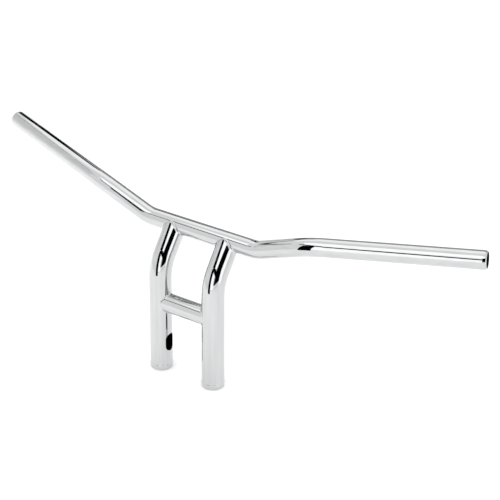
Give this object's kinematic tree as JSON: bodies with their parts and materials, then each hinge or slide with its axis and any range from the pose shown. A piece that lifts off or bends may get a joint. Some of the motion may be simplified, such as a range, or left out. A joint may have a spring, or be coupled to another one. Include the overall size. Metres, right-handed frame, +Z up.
{
  "type": "motorcycle handlebar",
  "caption": "Welded T-bar handlebar: a bent, pulled back bar on twin leaning risers joined by a cross tube, with threaded feet and a chrome finish.",
  "frame": {"origin": "midway between the two riser feet, on the flat faces that sit on the yoke", "axes": "+Z up along the lower part of the risers, +X towards one grip, +Y the way the bar is pulled back towards the rider"},
  "size_m": [0.7866, 0.1303, 0.2696],
  "materials": {
    "polished_chrome": "mirror polished chrome plate on steel tube",
    "weld_chrome": "chrome plate over blended weld beads"
  },
  "bodies": {
    "root": {"handlebar_tube": "polished_chrome", "cross_tube": "polished_chrome", "riser_tube_left": "polished_chrome", "threaded_bung_left": "polished_chrome", "bung_weld_left": "weld_chrome", "bar_weld_left": "weld_chrome", "cross_weld_left": "weld_chrome", "riser_tube_right": "polished_chrome", "threaded_bung_right": "polished_chrome", "bung_weld_right": "weld_chrome", "bar_weld_right": "weld_chrome", "cross_weld_right": "weld_chrome"}
  },
  "joints": []
}
